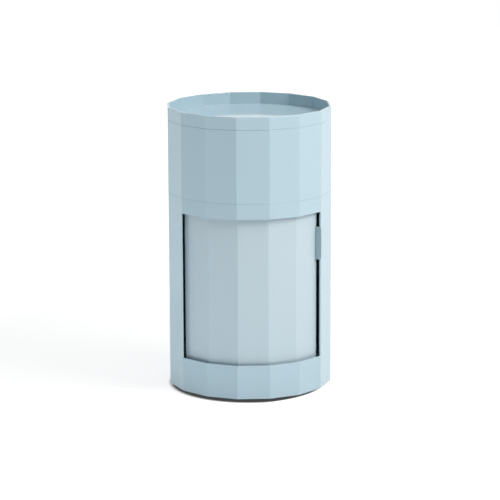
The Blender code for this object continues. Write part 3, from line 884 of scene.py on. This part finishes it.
bmesh.ops.translate(
    bm,
    verts=[part for part in grown if isinstance(part, bmesh.types.BMVert)],
    vec=(0, 0, TAB_THICKNESS),
)
bmesh.ops.recalc_face_normals(bm, faces=bm.faces)
soften(bm, TAB_EDGE, SOFT_STEPS)
bmesh.ops.translate(bm, verts=bm.verts, vec=((tab_root + tab_tip) / 2, 0, -TAB_THICKNESS / 2))
bmesh.ops.rotate(bm, verts=bm.verts, matrix=Matrix.Rotation(pi / 2, 3, "X"))
bmesh.ops.rotate(bm, verts=bm.verts, matrix=Matrix.Rotation(tab_angle, 3, "Z"))
bmesh.ops.translate(bm, verts=bm.verts, vec=(0, 0, (tab_low.z + tab_high.z) / 2))
fit_piece("tab_blade", bm, tab_shaded_coat, "door_powder_coat", "door", "pull_tab")


# Glides: six white nylon shoes riveted inside the door, each with a curved slot that straddles a track. The
# lower three carry the door and the upper three steady it.
GLIDE_WIDTH = 0.024
GLIDE_EDGE = 0.0006
GLIDE_INNER = 0.1489
GLIDE_SLOT = (0.1524, 0.1552)
GLIDE_ENGAGEMENT = 0.0063
LIFT_SLACK = 0.014
GLIDE_STEPS = 8
GLIDES = (-1, 0, 1)
GLIDE_SPACING = pi / 4
NYLON_WHITE = "e6e4dc"
NYLON_CREAM = "dedbd1"
nylon = moulded(
    "moulded_nylon", NYLON_WHITE, NYLON_CREAM, roughness=0.42, grain_size=0.0009, depth=0.00001
)
glide_outer = door_flat - SHEET - SEAT_GAP
glide_sweep = GLIDE_WIDTH / GLIDE_SLOT[0]
for level, opens_down in (("bottom", True), ("top", False)):
    for number, along in enumerate(GLIDES, 1):
        low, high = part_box(f"{level}_glide_{number}")
        if opens_down:
            mouth, slot_end, back = low.z, low.z + GLIDE_ENGAGEMENT, high.z
        else:
            mouth, slot_end, back = high.z, high.z - LIFT_SLACK, low.z
        section = [
            (GLIDE_INNER, mouth),
            (GLIDE_SLOT[0], mouth),
            (GLIDE_SLOT[0], slot_end),
            (GLIDE_SLOT[1], slot_end),
            (GLIDE_SLOT[1], mouth),
            (glide_outer, mouth),
            (glide_outer, back),
            (GLIDE_INNER, back),
        ]
        bm = bmesh.new()
        chain = [bm.verts.new((x, 0, z)) for x, z in section]
        outline = [bm.edges.new(pair) for pair in zip(chain, chain[1:] + chain[:1])]
        bmesh.ops.rotate(bm, verts=chain, matrix=Matrix.Rotation(-glide_sweep / 2, 3, "Z"))
        bmesh.ops.spin(
            bm,
            geom=chain + outline,
            cent=(0, 0, 0),
            axis=(0, 0, 1),
            angle=glide_sweep,
            steps=GLIDE_STEPS,
        )
        bmesh.ops.holes_fill(bm, edges=bm.edges, sides=0)
        bmesh.ops.recalc_face_normals(bm, faces=bm.faces)
        for corner in bm.verts:
            if corner.co.xy.length > glide_outer - MERGE * 10:
                corner.co.x = glide_outer
        soften(bm, GLIDE_EDGE)
        turn = Matrix.Rotation(FRONT + along * GLIDE_SPACING, 3, "Z")
        bmesh.ops.rotate(bm, verts=bm.verts, matrix=turn)
        fit_piece(
            f"{level}_shoe_{number}", bm, nylon, "white_nylon", "door", f"{level}_glide_{number}"
        )


# Tray: the lift-off top, pressed from one coated sheet: a flat floor, a shallow faceted wall, a rounded rim
# 5 mm wide and a skirt that continues the sides of the body down to the first seam.
RIM_WIDTH = 0.005
RIM_BEND = 0.0014
FLOOR_BEND = 0.0003
TRAY_DEPTH = 0.026
tray_low, tray_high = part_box("tray_top")
well_flat = body_flat - RIM_WIDTH
tray_floor = tray_high.z - TRAY_DEPTH
bm = faceted_sheet(
    bend(well_flat - FLOOR_BEND, tray_floor + FLOOR_BEND, FLOOR_BEND, -90, 0)
    + bend(well_flat + RIM_BEND, tray_high.z - RIM_BEND, RIM_BEND, 180, 90)
    + bend(body_flat - RIM_BEND, tray_high.z - RIM_BEND, RIM_BEND, 90, 0)
    + [(body_flat, tray_low.z)],
    floor=True,
)
fit_piece("tray_sheet", bm, body_coat, "blue_powder_coat", "tray", "tray_top", sheet=SHEET)


# Tray locator: a hoop of coated sheet welded under the tray's floor, drawn in at its lower edge so that it
# finds the mouth of the ring.
LOCATOR_LEAD = 0.0015
LOCATOR_LEAD_HEIGHT = 0.004
locator_low, locator_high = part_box("tray_locator")
bm = faceted_sheet(
    [
        (locator_high.y - LOCATOR_LEAD, locator_low.z),
        (locator_high.y, locator_low.z + LOCATOR_LEAD_HEIGHT),
        (locator_high.y, locator_high.z),
    ]
)
fit_piece("locator_hoop", bm, body_coat, "blue_powder_coat", "tray", "tray_locator", sheet=SHEET)


# Floor: a plain white studio floor. The camera and reflections see it near white, with a painted shadow on
# the left that deepens the lamp's own soft shadow there, painted shade under the cabinet, and painted light
# where the lamp reaches in under it from the right. Other light meets plain white paint that also glows on
# the left, like a floor lit by a fill lamp on that side.
FLOOR_HALF = 6.0
FLOOR_DROP = 0.0002
FOOTPRINT_INNER, FOOTPRINT_OUTER = 0.170, 0.182
LIT_EDGE_CENTRE = (-0.033, 0.02, 0.0)
LIT_EDGE_INNER, LIT_EDGE_OUTER = 0.200, 0.206
SHADE_CENTRE = (-0.36, 0.32, 0.0)
SHADE_INNER, SHADE_OUTER = 0.36, 0.62
SHADE_GLOW, CLEAR_GLOW, UNDER_SHADE_GLOW = 0.772, 0.98, 0.055
UNDER_SHADE_TONE, CLEAR_TONE = 0.1, 0.27
FLOOR_WHITE = "ebeff1"
FLOOR_LIFT = 0.68
LIFT_FULL = 0.26
bm = bmesh.new()
bmesh.ops.create_grid(bm, x_segments=1, y_segments=1, size=FLOOR_HALF)
bmesh.ops.translate(bm, verts=bm.verts, vec=(0, 0, -FLOOR_DROP))
mesh = bpy.data.meshes.new("floor")
bm.to_mesh(mesh)
bm.free()
floor = bpy.data.objects.new("floor", mesh)
bpy.context.scene.collection.objects.link(floor)


def seen_rays(tree):
    """1 for the rays that show a surface to the camera, straight, mirrored or through glass, and else 0."""
    rays = node(tree, "ShaderNodeLightPath").outputs
    seen = rays["Is Camera Ray"]
    for kind in ("Is Glossy Ray", "Is Transmission Ray"):
        seen = node(tree, "ShaderNodeMath", {0: seen, 1: rays[kind]}, operation="ADD").outputs[0]
    return seen


paint, tree, shader, place = new_material("white_studio_floor")
tree.nodes.remove(shader)
reach = node(tree, "ShaderNodeVectorMath", {0: place}, operation="LENGTH").outputs["Value"]
# Painted shade under the cabinet: inside the footprint the floor's glow and tone drop. A circle shifted left
# takes it away again under the right edge, as painted light where the lamp reaches in.
clear = node(
    tree,
    "ShaderNodeMapRange",
    {"Value": reach, "From Min": FOOTPRINT_INNER, "From Max": FOOTPRINT_OUTER},
).outputs["Result"]
lit_reach = node(
    tree, "ShaderNodeVectorMath", {0: place, 1: LIT_EDGE_CENTRE}, operation="DISTANCE"
).outputs["Value"]
lit = node(
    tree,
    "ShaderNodeMapRange",
    {"Value": lit_reach, "From Min": LIT_EDGE_INNER, "From Max": LIT_EDGE_OUTER},
).outputs["Result"]
clear = node(tree, "ShaderNodeMath", {0: clear, 1: lit}, operation="MAXIMUM").outputs[0]
# Painted shadow: the glow is lowered in a patch to the left and back, where the lamp's shadow falls.
shade_reach = node(
    tree, "ShaderNodeVectorMath", {0: place, 1: SHADE_CENTRE}, operation="DISTANCE"
).outputs["Value"]
glow = node(
    tree,
    "ShaderNodeMapRange",
    {
        "Value": shade_reach,
        "From Min": SHADE_INNER,
        "From Max": SHADE_OUTER,
        "To Min": SHADE_GLOW,
        "To Max": CLEAR_GLOW,
    },
).outputs["Result"]
glow = node(
    tree, "ShaderNodeMix", {0: clear, 2: UNDER_SHADE_GLOW, 3: glow}, data_type="FLOAT"
).outputs["Result"]
light = node(tree, "ShaderNodeEmission", {"Strength": glow}).outputs[0]
tone = node(
    tree, "ShaderNodeMapRange", {"Value": clear, "To Min": UNDER_SHADE_TONE, "To Max": CLEAR_TONE}
).outputs["Result"]
shade = node(tree, "ShaderNodeBsdfDiffuse", {"Color": tone}).outputs[0]
white = node(tree, "ShaderNodeBsdfDiffuse", {"Color": linear(FLOOR_WHITE)}).outputs[0]
lift = node(
    tree,
    "ShaderNodeMapRange",
    {"Value": reach, "From Min": FOOTPRINT_INNER, "From Max": LIFT_FULL, "To Max": FLOOR_LIFT},
).outputs["Result"]
across = node(tree, "ShaderNodeSeparateXYZ", {0: place}).outputs["X"]
across = node(tree, "ShaderNodeMath", {0: across, 1: reach}, operation="DIVIDE").outputs[0]
leftward = node(
    tree, "ShaderNodeMapRange", {"Value": across, "From Min": 1.0, "From Max": -1.0}
).outputs["Result"]
lift = node(tree, "ShaderNodeMath", {0: lift, 1: leftward}, operation="MULTIPLY").outputs[0]
lift = node(tree, "ShaderNodeEmission", {"Strength": lift}).outputs[0]
bounce = node(tree, "ShaderNodeAddShader", {0: white, 1: lift}).outputs[0]
shown = node(tree, "ShaderNodeAddShader", {0: light, 1: shade}).outputs[0]
mixed = node(tree, "ShaderNodeMixShader", {0: seen_rays(tree), 1: bounce, 2: shown}).outputs[0]
tree.links.new(mixed, tree.nodes["Material Output"].inputs["Surface"])
mesh.materials.append(paint)


# Light: a white studio. A large soft lamp, slightly warm, stands to the right and in front, 36 degrees up.
# A dome that is lit only overhead fills the rest. The camera and reflections see the dome as plain white.
DOME_WHITE = "f9fdff"
DOME_LEVEL = 1.2
DOME_EDGE = 0.5
DOME_FULL = 0.8
KEY_WHITE = "fff5ef"
KEY_BEARING = radians(59)
KEY_RISE = radians(36)
KEY_DISTANCE = 3.0
KEY_SIZE = 1.6
KEY_WATTS = 64
KEY_AIM = Vector((0, 0, 0.3))
world = bpy.data.worlds.new("white_studio")
bpy.context.scene.world = world
world.use_nodes = True
tree = world.node_tree
way = node(tree, "ShaderNodeTexCoord").outputs["Generated"]
rise = node(tree, "ShaderNodeSeparateXYZ", {0: way}).outputs["Z"]
level = node(
    tree,
    "ShaderNodeMapRange",
    {"Value": rise, "From Min": DOME_EDGE, "From Max": DOME_FULL, "To Max": DOME_LEVEL},
).outputs["Result"]
dome = node(tree, "ShaderNodeBackground", {"Color": linear(DOME_WHITE), "Strength": level}).outputs[0]
plain = node(tree, "ShaderNodeBackground", {"Color": (1, 1, 1, 1), "Strength": 1.0}).outputs[0]
mixed = node(tree, "ShaderNodeMixShader", {0: seen_rays(tree), 1: dome, 2: plain}).outputs[0]
tree.links.new(mixed, tree.nodes["World Output"].inputs["Surface"])
lamp = bpy.data.lights.new("key_lamp", "AREA")
lamp.shape = "DISK"
lamp.size = KEY_SIZE
lamp.energy = KEY_WATTS
lamp.color = linear(KEY_WHITE)[:3]
key = bpy.data.objects.new("key_lamp", lamp)
bpy.context.scene.collection.objects.link(key)
towards = Vector(
    (
        sin(KEY_BEARING) * cos(KEY_RISE),
        -cos(KEY_BEARING) * cos(KEY_RISE),
        sin(KEY_RISE),
    )
)
key.location = KEY_AIM + towards * KEY_DISTANCE
key.rotation_euler = towards.to_track_quat("Z", "Y").to_euler()


# Camera: a long lens five metres away, almost square to the door, looking down by 12 degrees so that it sees
# into the tray.
LENS = 176.4
SENSOR = 36
CAMERA_BEARING = radians(-2.705)
CAMERA_SIDE = 0.0013
CAMERA_DISTANCE = 5.2456
CAMERA_HEIGHT = 1.4548
CAMERA_PITCH = radians(12.443)
CAMERA_ROLL = radians(-0.22)
camera_data = bpy.data.cameras.new("camera")
camera_data.lens = LENS
camera_data.sensor_width = SENSOR
camera = bpy.data.objects.new("camera", camera_data)
bpy.context.scene.collection.objects.link(camera)
camera.matrix_world = (
    Matrix.Rotation(CAMERA_BEARING, 4, "Z")
    @ Matrix.Translation((CAMERA_SIDE, -CAMERA_DISTANCE, CAMERA_HEIGHT))
    @ Matrix.Rotation(pi / 2 - CAMERA_PITCH, 4, "X")
    @ Matrix.Rotation(CAMERA_ROLL, 4, "Z")
)
bpy.context.scene.camera = camera
bpy.context.scene.view_settings.view_transform = "Standard"
